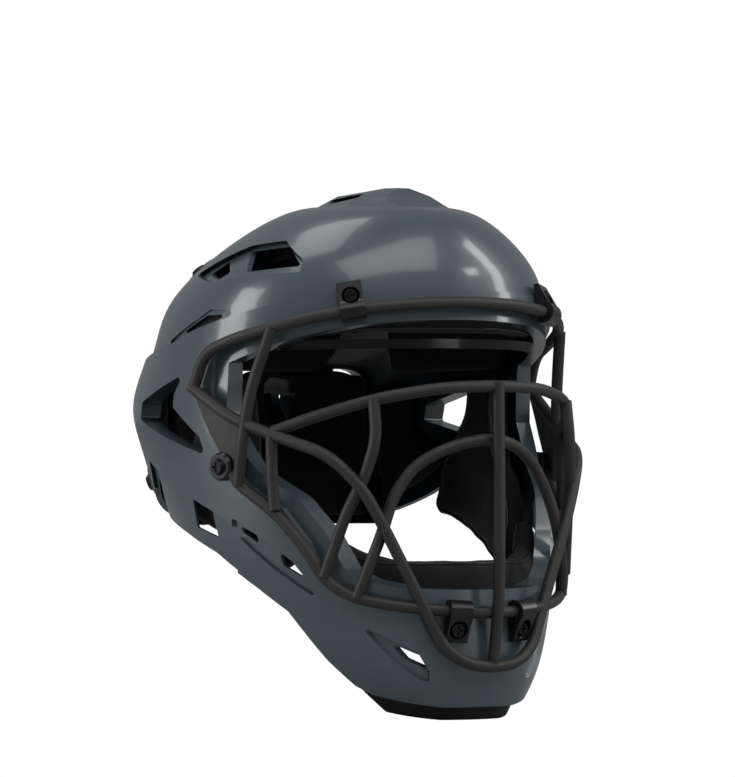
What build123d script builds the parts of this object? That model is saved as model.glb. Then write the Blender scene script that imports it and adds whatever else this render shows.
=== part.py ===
from build123d import *
import math
import os

os.makedirs("parts", exist_ok=True)

# Overall size of the shell: Z is up, the face looks along -Y, X = 0 is the mirror plane
shell_half_width = 107.5
shell_length = 258
shell_height = 272
shell_wall = 4
band_step = 3
band_step_front = 0.6
overrun = 20

# Fits
seat_gap = 0.3
plate_gap = 3.5
weld_sink = 0.8

# Face opening and its rolled lip
face_corner = 7
lip_width = 8
lip_wall = 2.6
lip_depth = 11

# Windows and vents
window_corner = 2
reveal_wall = 3
reveal_depth = 9
vent_depth = 2.2
vent_corner = 1.2
slot_corner = 0.9
rim_corner = 3

# Crown ridge
ridge_wall = 4.5

# Face cage
wire = 6.2
wire_stand_off = 5
cage_plate = 2.2
cage_plate_corner = 1.5

# Clips and screws
clip_wall = 2.6
clip_play = 0.35
brow_clip_width = 13
brow_clip_tail = 8
chin_clip_width = 12.5
chin_clip_tail = 6.5
side_clip_diameter = 15
side_clip_height = 9
screw_head = 9
screw_head_height = 2.4
screw_head_taper = 25
screw_cross = 5
screw_cross_wall = 1.1
screw_cross_depth = 1.3
screw_shank = 4.6
nut_flange = 11
nut_flange_height = 1.6
nut_barrel = 7
nut_bore = 5
nut_seat = 0.9

# Padding
pad_thickness = 14
cheek_pad_thickness = 15
nape_pad_thickness = 10
crown_pad_thickness = 12
chin_pad_thickness = 12
rear_pad_thickness = 11
pad_corner = 8
temple_pad_corner = 6
strip_corner = 1.5
trim_corner = 3
strip_thickness = 3.5
trim_thickness = 7

# Back plate and its straps
plate_wall = 3.6
plate_corner = 9
plate_hem = 3
plate_hem_depth = 8
plate_spine = 2
vent_slant = 35
strap_width = 18
strap_thickness = 1.4
keeper_width = 28
keeper_slot = 23.2
keeper_height = 10
keeper_thickness = 5
keeper_play = 1.4
keeper_sink = 1.4
strap_boss = 15
strap_boss_height = 1.9
stud_head = 10.5
stud_head_height = 2.2
stud_head_taper = 35
stud_shank = 4
stud_depth = 3
stud_lift = 0.6
plate_stud_lift = 0.7

# Level cuts through the shell, from the crown to the chin: height, half width at the widest place,
# where that place lies, then the front and the rear end, as shares of the height, half width and length
level_shares = (
    (0.485, 0.093, -0.135, -0.175, -0.095),
    (0.475, 0.350, -0.142, -0.305, -0.005),
    (0.453, 0.545, -0.152, -0.382, 0.070),
    (0.412, 0.705, -0.155, -0.422, 0.174),
    (0.353, 0.856, -0.143, -0.453, 0.280),
    (0.279, 0.949, -0.112, -0.469, 0.378),
    (0.184, 0.981, -0.070, -0.488, 0.422),
    (0.085, 1.000, -0.023, -0.510, 0.461),
    (-0.018, 0.995, -0.019, -0.525, 0.384),
    (-0.092, 0.977, -0.031, -0.535, 0.333),
    (-0.217, 0.912, -0.093, -0.541, 0.194),
    (-0.287, 0.819, -0.174, -0.541, 0.078),
    (-0.338, 0.735, -0.233, -0.541, -0.039),
    (-0.426, 0.577, -0.329, -0.537, -0.147),
    (-0.522, 0.372, -0.376, -0.516, -0.248),
    (-0.560, 0.300, -0.384, -0.506, -0.275),
)
inner_level_shares = level_shares[:4] + level_shares[4::2] + level_shares[-1:]
crown_share = level_shares[0][0]
crown_blend_share = 0.70

# Outlines seen from the side, as shares of the shell's length and height
face_shares = (
    (-0.659, 0.290), (-0.484, 0.283), (-0.399, 0.268), (-0.302, 0.241), (-0.143, 0.188), (-0.136, 0.074),
    (-0.136, 0.044), (-0.194, -0.036), (-0.222, -0.066), (-0.302, -0.114), (-0.349, -0.176),
    (-0.376, -0.243), (-0.415, -0.276), (-0.469, -0.294), (-0.659, -0.312),
)
above_band_shares = (
    (-0.659, 0.324), (-0.360, 0.298), (-0.149, 0.248), (0.105, 0.194), (0.291, 0.168), (0.620, 0.140),
    (0.620, 0.640), (-0.659, 0.640),
)
below_rim_shares = (
    (-0.659, -0.498), (-0.504, -0.496), (-0.407, -0.472), (-0.376, -0.456), (-0.337, -0.408),
    (-0.283, -0.313), (-0.217, -0.266), (-0.116, -0.202), (-0.019, -0.164), (0.070, -0.136), (0.083, -0.048),
    (0.140, -0.092), (0.190, -0.125), (0.270, -0.156), (0.620, -0.190), (0.620, -0.700), (-0.659, -0.700),
)
lower_jaw_shares = (
    (0.120, -0.022), (-0.081, -0.102), (-0.138, -0.124), (-0.202, -0.162), (-0.170, -0.260), (0.120, -0.260),
)
window_shares = (
    (-0.047, 0.147), (-0.014, 0.108), (-0.012, 0.082), (-0.101, 0.024), (-0.118, -0.012), (0.151, 0.058),
    (0.143, 0.092),
)
scoop_shares = (
    (0.050, 0.342), (-0.058, 0.375), (-0.132, 0.396), (-0.229, 0.404), (-0.295, 0.368), (-0.308, 0.341),
    (-0.225, 0.336), (-0.072, 0.325),
)
scoop_front_hole_shares = ((-0.128, 0.384), (-0.238, 0.392), (-0.292, 0.353), (-0.170, 0.343))
scoop_rear_hole_shares = ((-0.018, 0.341), (-0.066, 0.366), (-0.108, 0.344), (-0.078, 0.330))
temple_vent_shares = (
    (0.074, 0.206), (-0.074, 0.258), (-0.109, 0.272), (-0.186, 0.266), (-0.141, 0.244), (-0.041, 0.224),
    (0.023, 0.206),
)
temple_slot_shares = ((0.040, 0.213), (-0.095, 0.260), (-0.160, 0.261), (-0.132, 0.250), (-0.035, 0.230))
side_slot_shares = ((-0.058, -0.094), (-0.118, -0.116), (-0.130, -0.172), (-0.064, -0.152))
jaw_leaf_shares = (
    (-0.182, -0.132), (-0.260, -0.172), (-0.310, -0.205), (-0.337, -0.242), (-0.362, -0.290),
    (-0.271, -0.228), (-0.182, -0.158),
)
jaw_rear_slot_shares = ((-0.195, -0.148), (-0.235, -0.166), (-0.240, -0.184), (-0.200, -0.160))
jaw_front_slot_shares = ((-0.285, -0.198), (-0.318, -0.222), (-0.334, -0.250), (-0.290, -0.224))
chin_leaf_shares = (
    (-0.424, -0.333), (-0.461, -0.358), (-0.500, -0.388), (-0.508, -0.426), (-0.503, -0.452),
    (-0.466, -0.400),
)
chin_slot_shares = ((-0.462, -0.370), (-0.496, -0.396), (-0.502, -0.425), (-0.474, -0.400))
ridge_slot_shares = ((-0.125, 0.488), (-0.215, 0.5005), (-0.222, 0.491), (-0.150, 0.481))

# Outlines seen from behind, as shares of the half width and the height
rear_opening_shares = ((-0.662, 0.165), (0.662, 0.165), (0.662, -0.018), (0.500, -0.400), (-0.500, -0.400),
                       (-0.662, -0.018))
plate_shares = ((-0.662, 0.165), (0.662, 0.165), (0.662, -0.018), (0.600, -0.165), (-0.600, -0.165),
                (-0.662, -0.018))
plate_vent_shares = (
    ((0.098, -0.006), (0.098, 0.120), (0.212, 0.118), (0.212, -0.006)),
    ((0.242, -0.006), (0.242, 0.117), (0.356, 0.114), (0.356, 0.024), (0.310, -0.006)),
)
pad_vent_shares = ((0.086, -0.014), (0.086, 0.128), (0.368, 0.122), (0.368, 0.018), (0.315, -0.014))
vent_depth_share = 0.410
plate_spine_shares = ((-0.040, 0.140), (0.040, 0.140), (0.040, -0.140), (-0.040, -0.140))

# Level cuts through the crown ridge: height, half width of its ends, half width of its middle, then the
# front end, the front shoulder, the rear shoulder and the rear end, as shares
ridge_shares = (
    (0.438, 0.260, 0.470, -0.355, -0.265, -0.090, 0.045),
    (0.497, 0.130, 0.220, -0.265, -0.210, -0.140, -0.090),
    (0.512, 0.030, 0.070, -0.249, -0.226, -0.220, -0.198),
)

# Pads seen from the side, as shares of the shell's length and height
brow_pad_shares = ((-0.660, 0.2242), (-0.230, 0.2190), (-0.230, 0.330), (-0.660, 0.360))
temple_pad_shares = ((-0.190, 0.235), (-0.112, 0.205), (-0.110, 0.160), (0.195, 0.152), (0.120, 0.345),
                     (-0.190, 0.350))
chin_trim_shares = ((-0.660, -0.462), (-0.430, -0.436), (-0.375, -0.410), (-0.338, -0.372), (-0.336, -0.416),
                    (-0.362, -0.470), (-0.392, -0.507), (-0.480, -0.5215), (-0.660, -0.5215))
cheek_pad_shares = ((-0.035, 0.143), (-0.150, 0.148), (-0.158, -0.010), (-0.205, -0.055), (-0.245, -0.125),
                    (-0.262, -0.225), (-0.215, -0.240), (-0.120, -0.190), (-0.020, -0.152), (0.055, -0.125),
                    (0.055, -0.040), (-0.040, 0.080))
nape_pad_shares = ((0.175, 0.139), (0.400, 0.136), (0.400, -0.130), (0.270, -0.138), (0.195, -0.106),
                   (0.145, -0.075), (0.105, -0.040), (0.105, 0.010), (0.175, 0.035))
chin_pad_shares = ((-0.660, -0.212), (-0.420, -0.210), (-0.375, -0.195), (-0.335, -0.160), (-0.302, -0.118),
                   (-0.272, -0.150), (-0.288, -0.215), (-0.330, -0.280), (-0.375, -0.335), (-0.660, -0.345))
back_pad_shares = ((0.030, 0.137), (0.590, 0.137), (0.590, -0.020), (0.530, -0.137), (0.030, -0.137))
occipital_pad_shares = ((-0.540, 0.192), (0.540, 0.192), (0.320, 0.315), (-0.320, 0.315))

# Cage wires, as shares of the shell's half width, length and height; each list runs from the left side
# of the helmet or from its middle
brow_wire_shares = ((0.000, -0.486, 0.284), (0.326, -0.470, 0.280), (0.577, -0.428, 0.269),
                    (0.760, -0.366, 0.252), (0.880, -0.296, 0.232), (0.972, -0.214, 0.212),
                    (1.030, -0.140, 0.186), (1.040, -0.112, 0.124))
lower_wire_shares = ((0.000, -0.560, -0.314), (0.186, -0.554, -0.312), (0.372, -0.526, -0.305),
                     (0.530, -0.484, -0.296), (0.650, -0.436, -0.282), (0.735, -0.397, -0.250),
                     (0.800, -0.366, -0.188), (0.882, -0.308, -0.121), (0.955, -0.232, -0.072),
                     (1.005, -0.208, -0.040))
jaw_bar_shares = ((0.000, -0.558, -0.419), (0.150, -0.556, -0.412), (0.265, -0.543, -0.382),
                  (0.386, -0.522, -0.281), (0.543, -0.499, -0.154), (0.640, -0.478, -0.075),
                  (0.760, -0.428, -0.010), (0.884, -0.310, 0.026), (0.985, -0.217, 0.059), (1.040, -0.106, 0.120))
eye_bar_shares = ((0.000, -0.574, 0.121), (0.280, -0.558, 0.118), (0.560, -0.490, 0.098),
                  (0.760, -0.390, 0.064), (0.880, -0.305, 0.034))
nose_arch_shares = ((0.000, -0.558, 0.022), (0.200, -0.528, 0.006), (0.360, -0.496, -0.030),
                    (0.470, -0.484, -0.090), (0.530, -0.484, -0.155), (0.585, -0.468, -0.225),
                    (0.620, -0.446, -0.285))
centre_bar_shares = ((0.000, -0.576, 0.128), (0.000, -0.580, -0.120), (0.000, -0.578, -0.300),
                     (0.000, -0.556, -0.419))
temple_strut_shares = ((0.880, -0.300, 0.232), (0.938, -0.256, 0.110), (0.964, -0.242, 0.000),
                       (0.966, -0.232, -0.070))
cheek_strut_shares = ((0.890, -0.304, 0.030), (0.884, -0.304, -0.050), (0.878, -0.310, -0.118))
outer_strut_shares = ((0.583, -0.482, 0.094), (0.585, -0.494, 0.020), (0.622, -0.474, -0.055),
                      (0.670, -0.440, -0.120), (0.732, -0.397, -0.245))
cage_plate_shares = ((-0.104, 0.128), (-0.234, 0.055), (-0.234, -0.042), (-0.207, -0.037), (-0.160, 0.030))

# Places of the clips, as shares of the half width, length and height
brow_clip_shares = (0.577, -0.398, 0.292)
chin_clip_shares = (0.189, -0.539, -0.347)
side_clip_shares = (0.985, -0.190, -0.034)
brow_strip_shares = ((-0.660, 0.200), (-0.240, 0.190), (-0.240, 0.208), (-0.660, 0.218))
crown_pad_shares = ((-0.330, -0.300), (0.330, -0.300), (0.360, 0.060), (-0.360, 0.060))
crown_stud_shares = (0.520, 0.215, 0.375)
keeper_shares = (0.580, 0.460, 0.112)
strap_end_shares = (0.468, 0.460, 0.075)
shell_stud_shares = (0.760, 0.260, -0.075)
plate_stud_shares = (0.500, 0.330, -0.100)
bend_share = 0.45

long = shell_length
tall = shell_height
wide = shell_half_width


def side_points(shares):
    return [(along * long, up * tall) for along, up in shares]


def rear_points(shares):
    return [(across * wide, up * tall) for across, up in shares]


def space_point(shares, side=1):
    across, along, up = shares
    return Vector(side * across * wide, along * long, up * tall)


def level_sizes(share, inset, drop):
    """Centre, half width, front half and rear half of one level cut, drawn in by the inset."""
    height, half, widest, nose, tail = share
    level = height * tall
    if level > 0:
        level -= drop * height / crown_share
        inset *= min(1, half / crown_blend_share)
    centre = widest * long
    return level, centre, half * wide - inset, centre - nose * long - inset, tail * long - centre - inset


def shell_form(inset, drop=None, front_inset=None):
    """Solid through the level cuts, drawn in by the inset, and lowered by the drop at the crown.

    Forms inside the wall take fewer levels.
    """
    if drop is None:
        drop = inset
    with BuildPart() as form:
        for share in level_shares if inset < shell_wall - weld_sink else inner_level_shares:
            level, centre, half, nose, tail = level_sizes(share, inset, drop)
            if front_inset is not None:
                nose += inset - front_inset
            with BuildSketch(Plane.XY.offset(level)):
                with BuildLine():
                    EllipticalCenterArc((0, centre), half, nose, start_angle=180, arc_size=180)
                    EllipticalCenterArc((0, centre), half, tail, start_angle=0, arc_size=180)
                make_face()
        loft()
    return form.part


def side_prism(shares, corner, margin=0, lower=0):
    """Outline seen from the side, run right across the helmet."""
    with BuildPart() as prism:
        with BuildSketch(Plane.YZ.move(Location((0, 0, -lower)))):
            with BuildLine():
                FilletPolyline(*side_points(shares), radius=corner, close=True)
            make_face()
            if margin:
                offset(amount=margin, kind=Kind.INTERSECTION)
        extrude(amount=wide + overrun, both=True)
    return prism.part


def shell_layer(outside, inside, drops=(None, None), front_insets=(None, None)):
    """Skin between two depths below the shell's outside."""
    outer = shell_form(outside, drops[0], front_insets[0])
    inner = shell_form(inside, drops[1], front_insets[1])
    with BuildPart() as layer:
        add(outer)
        add(inner, mode=Mode.SUBTRACT)
    return layer.part


def common(first, second):
    """What two forms share."""
    with BuildPart() as shared:
        add(first)
        add(second, mode=Mode.INTERSECT)
    return shared.part


def outside_of(form, prisms):
    """The part of some outlines that lies outside a form."""
    with BuildPart() as rest:
        add(prisms)
        add(form, mode=Mode.SUBTRACT)
    return rest.part


def rear_prism(shares, corner, margin=0):
    """Outline seen from behind, run from the middle of the helmet out past its rear."""
    with BuildPart() as prism:
        with BuildSketch(Plane.XZ):
            with BuildLine():
                FilletPolyline(*rear_points(shares), radius=corner, close=True)
            make_face()
            if margin:
                offset(amount=margin, kind=Kind.INTERSECTION)
        extrude(amount=-long)
    return prism.part


def on_both_sides(build):
    """The same piece for the wearer's left, where X is positive, and for the right."""
    return {name: build(side) for name, side in (("left", 1), ("right", -1))}


def keep_side(side):
    return Keep.TOP if side > 0 else Keep.BOTTOM


def write(part, name):
    part.label = name
    export_step(part, "parts/" + name + ".step")


def surface_plane(form, target, along):
    """Plane on a form's outside, nearest to a point outside it, with its x axis along a direction."""
    foot = form.distance_to_with_closest_points(target)[1]
    normal = (target - foot).normalized()
    across = (along - normal * along.dot(normal)).normalized()
    return Plane(origin=foot, x_dir=across, z_dir=normal)


def hug(point):
    """Point that stands off the shell by the wire's own stand-off."""
    foot = outer_form.distance_to_with_closest_points(point)[1]
    return foot + (point - foot).normalized() * wire_stand_off


def both_halves(shares):
    """Points of a wire from the right end through the middle to the left end."""
    right = [space_point(share, -1) for share in reversed(shares[1:])]
    return right + [space_point(share) for share in shares]


def bend_radii(points):
    """Arc at each bend, as large as the shorter of its two runs allows."""
    radii = []
    for before, corner, after in zip(points, points[1:], points[2:]):
        turn = (corner - before).get_angle(after - corner)
        shorter = min((corner - before).length, (after - corner).length)
        radii.append(bend_share * shorter / math.tan(math.radians(turn) / 2))
    return radii


def wire_along(points):
    """Round wire bent through the points."""
    with BuildPart() as bent:
        with BuildLine() as path:
            if len(points) > 2:
                FilletPolyline(*points, radius=bend_radii(points))
            else:
                Line(*points)
        with BuildSketch(Plane(origin=path.line @ 0, z_dir=path.line % 0)):
            Circle(wire / 2)
        sweep()
    return bent.part, path.wires()[0]


# Forms that the shell and all that lies on it are cut from
outer_form = shell_form(0)
dome_form = shell_form(band_step, drop=0, front_inset=band_step_front)
inner_form = shell_form(shell_wall)
inner_dome_form = shell_form(band_step + shell_wall, drop=shell_wall, front_inset=shell_wall + band_step_front)
plate_form = shell_form(band_step)
above_band = side_prism(above_band_shares, face_corner)
above_band_inside = side_prism(above_band_shares, face_corner, lower=shell_wall)

# Places of the perimeter wires and of the screws through the shell
brow_points = [hug(point) for point in both_halves(brow_wire_shares)]
lower_points = [hug(point) for point in both_halves(lower_wire_shares)]
brow_wire, brow_path = wire_along(brow_points)
lower_wire, lower_path = wire_along(lower_points)


def clip_place(path, shares, side):
    """Screw place of a clip, turned along the wire that it holds, and the middle of the wire there."""
    target = space_point(shares, side)
    middle = path.distance_to_with_closest_points(target)[1]
    along = path.tangent_at(middle)
    if along.X < 0:
        along = -along
    return surface_plane(outer_form, target, along), middle


brow_clips = on_both_sides(lambda side: clip_place(brow_path, brow_clip_shares, side))
chin_clips = on_both_sides(lambda side: clip_place(lower_path, chin_clip_shares, side))
side_clips = on_both_sides(
    lambda side: surface_plane(outer_form, space_point(side_clip_shares, side), Vector(0, 1, 0)))
crown_studs = on_both_sides(
    lambda side: surface_plane(dome_form, space_point(crown_stud_shares, side), Vector(1, 0, 0)))
shell_studs = on_both_sides(
    lambda side: surface_plane(outer_form, space_point(shell_stud_shares, side), Vector(1, 0, 0)))
screw_planes = [place[0] for place in brow_clips.values()] + [place[0] for place in chin_clips.values()]
screw_planes += side_clips.values()
stud_planes = list(crown_studs.values()) + list(shell_studs.values())
plate_studs = on_both_sides(
    lambda side: surface_plane(plate_form, space_point(plate_stud_shares, side), Vector(1, 0, 0)))
keeper_planes = on_both_sides(
    lambda side: surface_plane(plate_form, space_point(keeper_shares, side), Vector(1, 0, 0)))

# Shell


def ridge_part(lower):
    """Crown ridge with flat flanks, from its foot up, lowered by a length."""
    with BuildPart() as crest:
        for height, narrow, broad, front, front_shoulder, rear_shoulder, rear in ridge_shares:
            right = [(narrow, front), (broad, front_shoulder), (broad, rear_shoulder), (narrow, rear)]
            around = right + [(-across, along) for across, along in reversed(right)]
            with BuildSketch(Plane.XY.offset(height * tall - lower)):
                with BuildLine():
                    Polyline(*[(across * wide, along * long) for across, along in around], close=True)
                make_face()
        loft(ruled=True)
    return crest.part


# The rolled lip and the window reveals are left standing in the hollow
lip_block = side_prism(face_shares, face_corner, margin=lip_wall)
lip_mouth = side_prism(face_shares, face_corner, margin=-lip_width)
reveal_block = side_prism(window_shares, window_corner, margin=reveal_wall)
lip_ring = outside_of(lip_mouth, lip_block)
standing = [outside_of(shell_form(lip_depth), lip_ring), outside_of(shell_form(reveal_depth), reveal_block)]

with BuildPart() as shell_hollow:
    add(inner_form)
    add(above_band_inside, mode=Mode.SUBTRACT)
    add([inner_dome_form, ridge_part(ridge_wall)])
    add(standing, mode=Mode.SUBTRACT, clean=False)

jaw_floor = shell_form(vent_depth)
dome_floor = shell_form(band_step + vent_depth, drop=vent_depth, front_inset=vent_depth + band_step_front)
with BuildPart() as vent_floor:
    add(jaw_floor)
    add(above_band, mode=Mode.SUBTRACT)
    add(dome_floor)

recesses = [side_prism(shares, vent_corner)
            for shares in (lower_jaw_shares, jaw_leaf_shares, chin_leaf_shares, scoop_shares, temple_vent_shares)]
cuts = [outside_of(vent_floor.part, recesses)]
cuts += [side_prism(shares, slot_corner)
         for shares in (scoop_front_hole_shares, scoop_rear_hole_shares, temple_slot_shares, side_slot_shares,
                        jaw_rear_slot_shares, jaw_front_slot_shares, chin_slot_shares, ridge_slot_shares)]
cuts += [outside_of(shell_form(lip_wall), side_prism(face_shares, face_corner)), lip_mouth]
cuts += [side_prism(window_shares, window_corner), side_prism(below_rim_shares, rim_corner)]
cuts.append(rear_prism(rear_opening_shares, plate_corner))

with BuildPart() as shell_holes:
    for plane in screw_planes:
        with BuildSketch(plane):
            Circle(nut_barrel / 2 + clip_play)
        extrude(amount=lip_depth, both=True)
        with BuildSketch(plane.offset(-shell_wall - nut_seat)):
            Circle(nut_flange / 2 + clip_play)
        extrude(amount=-lip_depth)
    for plane in stud_planes:
        with BuildSketch(plane.offset(-stud_depth - clip_play)):
            Circle(stud_shank / 2 + clip_play)
        extrude(amount=lip_depth)

with BuildPart() as front_shell:
    add(outer_form)
    add(above_band, mode=Mode.SUBTRACT)
    add([dome_form, ridge_part(0)])
    add(cuts, mode=Mode.SUBTRACT, clean=False)
    add([shell_hollow.part, shell_holes.part], mode=Mode.SUBTRACT, clean=False)
write(front_shell.part, "front_shell")

# Face cage

write(brow_wire, "brow_wire")
write(lower_wire, "lower_wire")
for name, shares in (("jaw_bar", jaw_bar_shares), ("eye_bar", eye_bar_shares), ("nose_arch", nose_arch_shares)):
    write(wire_along(both_halves(shares))[0], name)
write(wire_along([space_point(share) for share in centre_bar_shares])[0], "centre_bar")
for name, shares in (("temple_strut", temple_strut_shares), ("cheek_strut", cheek_strut_shares),
                     ("outer_strut", outer_strut_shares)):
    for side_name, side in (("left", 1), ("right", -1)):
        write(wire_along([space_point(share, side) for share in shares])[0], name + "_" + side_name)

plate_skin = common(shell_layer(-wire_stand_off - cage_plate / 2, -wire_stand_off + cage_plate / 2),
                    side_prism(cage_plate_shares, cage_plate_corner))

cage_plates = {}
for side_name, side in (("left", 1), ("right", -1)):
    with BuildPart() as side_plate:
        add(plate_skin)
        split(bisect_by=Plane.YZ, keep=keep_side(side))
    cage_plates[side_name] = side_plate.part
    write(side_plate.part, "side_plate_" + side_name)

# Clips, screws and nuts


def strap_clip(plane, middle, width, tail):
    """Flat tail screwed to the shell, with a loop round the wire."""
    hook = plane.to_local_coords(middle)
    bore = wire / 2 + clip_play
    top = seat_gap + clip_wall
    loop_top = hook.Z + bore + clip_wall
    tail_end = math.copysign(tail, -hook.Y)
    with BuildPart() as clip:
        with BuildSketch(Plane(origin=plane.origin, x_dir=plane.y_dir, z_dir=plane.x_dir)):
            with Locations((hook.Y, hook.Z)):
                Circle(bore + clip_wall)
            with BuildLine():
                Polyline((hook.Y, seat_gap), (tail_end, seat_gap), (tail_end, top), (hook.Y, loop_top), close=True)
            make_face()
            with Locations((hook.Y, hook.Z)):
                Circle(bore, mode=Mode.SUBTRACT)
            with Locations((hook.Y, seat_gap)):
                Rectangle(overrun, overrun, align=(Align.CENTER, Align.MAX), mode=Mode.SUBTRACT)
        extrude(amount=width / 2, both=True)
        with BuildSketch(plane):
            Circle(screw_shank / 2 + clip_play)
        extrude(amount=overrun, both=True, mode=Mode.SUBTRACT)
        with BuildSketch(plane.offset(top)):
            Circle(screw_head / 2 + clip_play)
        extrude(amount=overrun, mode=Mode.SUBTRACT)
    return clip.part


for side_name, (plane, middle) in brow_clips.items():
    write(strap_clip(plane, middle, brow_clip_width, brow_clip_tail), "brow_clip_" + side_name)
for side_name, (plane, middle) in chin_clips.items():
    write(strap_clip(plane, middle, chin_clip_width, chin_clip_tail), "chin_clip_" + side_name)

slot_half = cage_plate / 2 + clip_play
plate_slot = common(shell_layer(-wire_stand_off - slot_half, -wire_stand_off + slot_half),
                    side_prism(cage_plate_shares, cage_plate_corner, margin=clip_play))

for side_name, plane in side_clips.items():
    with BuildPart() as side_clip:
        with BuildSketch(plane.offset(seat_gap)):
            Circle(side_clip_diameter / 2)
        extrude(amount=side_clip_height - seat_gap)
        chamfer(side_clip.faces().sort_by(Axis(plane.origin, plane.z_dir))[-1].edges(), clip_wall / 2)
        add([plate_slot, lower_wire], mode=Mode.SUBTRACT)
        with BuildSketch(plane):
            Circle(screw_shank / 2 + clip_play)
        extrude(amount=side_clip_height, both=True, mode=Mode.SUBTRACT)
    write(side_clip.part, "side_clip_" + side_name)

clip_tops = [seat_gap + clip_wall] * 4 + [side_clip_height] * 2
with BuildPart() as cage_screws:
    for plane, top in zip(screw_planes, clip_tops):
        with BuildSketch(plane.offset(top)):
            Circle(screw_head / 2)
        extrude(amount=screw_head_height, taper=screw_head_taper)
        with BuildSketch(plane.offset(top)):
            Circle(screw_shank / 2)
        extrude(amount=-top - shell_wall - nut_seat - nut_flange_height)
        with BuildSketch(plane.offset(top + screw_head_height)):
            Rectangle(screw_cross, screw_cross_wall)
            Rectangle(screw_cross_wall, screw_cross)
        extrude(amount=-screw_cross_depth, mode=Mode.SUBTRACT)
write(cage_screws.part, "cage_screws")

with BuildPart() as cage_nuts:
    for plane in screw_planes:
        with BuildSketch(plane.offset(-shell_wall - nut_seat)):
            Circle(nut_flange / 2)
        extrude(amount=-nut_flange_height)
        with BuildSketch(plane.offset(-shell_wall - nut_seat)):
            Circle(nut_barrel / 2)
        extrude(amount=shell_wall)
        with BuildSketch(plane.offset(-shell_wall - nut_seat - nut_flange_height)):
            Circle(nut_bore / 2)
        extrude(amount=overrun, mode=Mode.SUBTRACT)
write(cage_nuts.part, "cage_nuts")

# Padding inside the front shell


def pad_form(shares, outside, thickness, corner=pad_corner):
    """Cushion that follows the shell's inner wall between two depths."""
    return common(shell_layer(outside, outside + thickness), side_prism(shares, corner))


lip_seat = lip_depth + seat_gap
wall_seat = shell_wall + seat_gap
dome_seat = band_step + shell_wall + seat_gap
back_seat = band_step + plate_wall + seat_gap

write(pad_form(brow_pad_shares, lip_seat, pad_thickness), "brow_pad")
write(pad_form(brow_strip_shares, lip_seat, strip_thickness, strip_corner), "brow_strip")

crown_layer = shell_layer(dome_seat, dome_seat + crown_pad_thickness,
                          drops=(wall_seat, wall_seat + crown_pad_thickness))
with BuildPart() as crown_pad:
    add(crown_layer)
    with BuildSketch(Plane.XY):
        with BuildLine():
            FilletPolyline(*[(x * wide, y * long) for x, y in crown_pad_shares], radius=pad_corner, close=True)
        make_face()
    extrude(amount=tall, mode=Mode.INTERSECT)
write(crown_pad.part, "crown_pad")

write(common(crown_layer, rear_prism(occipital_pad_shares, pad_corner)), "occipital_pad")

side_pads = (
    ("temple_pad", pad_form(temple_pad_shares, dome_seat, pad_thickness, temple_pad_corner)),
    ("cheek_pad", pad_form(cheek_pad_shares, lip_seat, cheek_pad_thickness)),
)
for name, whole in side_pads:
    for side_name, side in (("left", 1), ("right", -1)):
        with BuildPart() as pad:
            add(whole)
            split(bisect_by=Plane.YZ, keep=keep_side(side))
        write(pad.part, name + "_" + side_name)

nape_whole = pad_form(nape_pad_shares, wall_seat, nape_pad_thickness)
nape_cut = rear_prism(rear_opening_shares, plate_corner, margin=seat_gap)
for side_name, side in (("left", 1), ("right", -1)):
    with BuildPart() as nape_pad:
        add(nape_whole)
        add(nape_cut, mode=Mode.SUBTRACT)
        split(bisect_by=Plane.YZ, keep=keep_side(side))
    write(nape_pad.part, "nape_pad_" + side_name)

write(pad_form(chin_pad_shares, lip_seat, chin_pad_thickness), "chin_pad")
write(pad_form(chin_trim_shares, wall_seat, trim_thickness, trim_corner), "chin_trim")

# Back plate

plate_outline = rear_prism(plate_shares, plate_corner, margin=-plate_gap)
hem_mouth = rear_prism(plate_shares, plate_corner, margin=-plate_gap - plate_hem)
plate_layer = common(shell_layer(band_step, band_step + plate_wall), plate_outline)
hem_layer = shell_layer(band_step + plate_wall - weld_sink, band_step + plate_hem_depth)
plate_hem_ring = common(hem_layer, outside_of(hem_mouth, plate_outline))
spine = common(shell_layer(band_step - plate_spine, band_step + weld_sink),
               rear_prism(plate_spine_shares, slot_corner))


def slanted_vent(shares, side):
    """Opening through the back plate that leans in towards the middle as it goes back."""
    lean = Vector(-side * math.sin(math.radians(vent_slant)), math.cos(math.radians(vent_slant)), 0)
    with BuildPart() as vent:
        with BuildSketch(Plane.XZ.offset(-vent_depth_share * long)):
            with BuildLine():
                FilletPolyline(*rear_points([(side * across, up) for across, up in shares]),
                               radius=window_corner, close=True)
            make_face()
        extrude(amount=overrun, dir=lean, both=True)
    return vent.part


plate_vents = [slanted_vent(shares, side) for shares in plate_vent_shares for side in (1, -1)]

with BuildPart() as back_plate:
    add(plate_layer)
    add([plate_hem_ring, spine])
    for plane in plate_studs.values():
        with BuildSketch(plane.offset(-weld_sink)):
            Circle(strap_boss / 2)
        extrude(amount=strap_boss_height + weld_sink)
        with BuildSketch(plane.offset(strap_boss_height - stud_depth - clip_play)):
            Circle(stud_shank / 2 + clip_play)
        extrude(amount=lip_depth, mode=Mode.SUBTRACT)
    add(plate_vents, mode=Mode.SUBTRACT)
write(back_plate.part, "back_plate")

back_layer = shell_layer(back_seat, back_seat + rear_pad_thickness)
for side_name, side in (("left", 1), ("right", -1)):
    outline = rear_prism([(side * across, up) for across, up in back_pad_shares], pad_corner)
    with BuildPart() as back_pad:
        add(back_layer)
        add(outline, mode=Mode.INTERSECT)
        add(slanted_vent(pad_vent_shares, side), mode=Mode.SUBTRACT)
    write(back_pad.part, "back_pad_" + side_name)

# Straps between the front shell and the back plate

strap_top = seat_gap + strap_thickness


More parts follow.
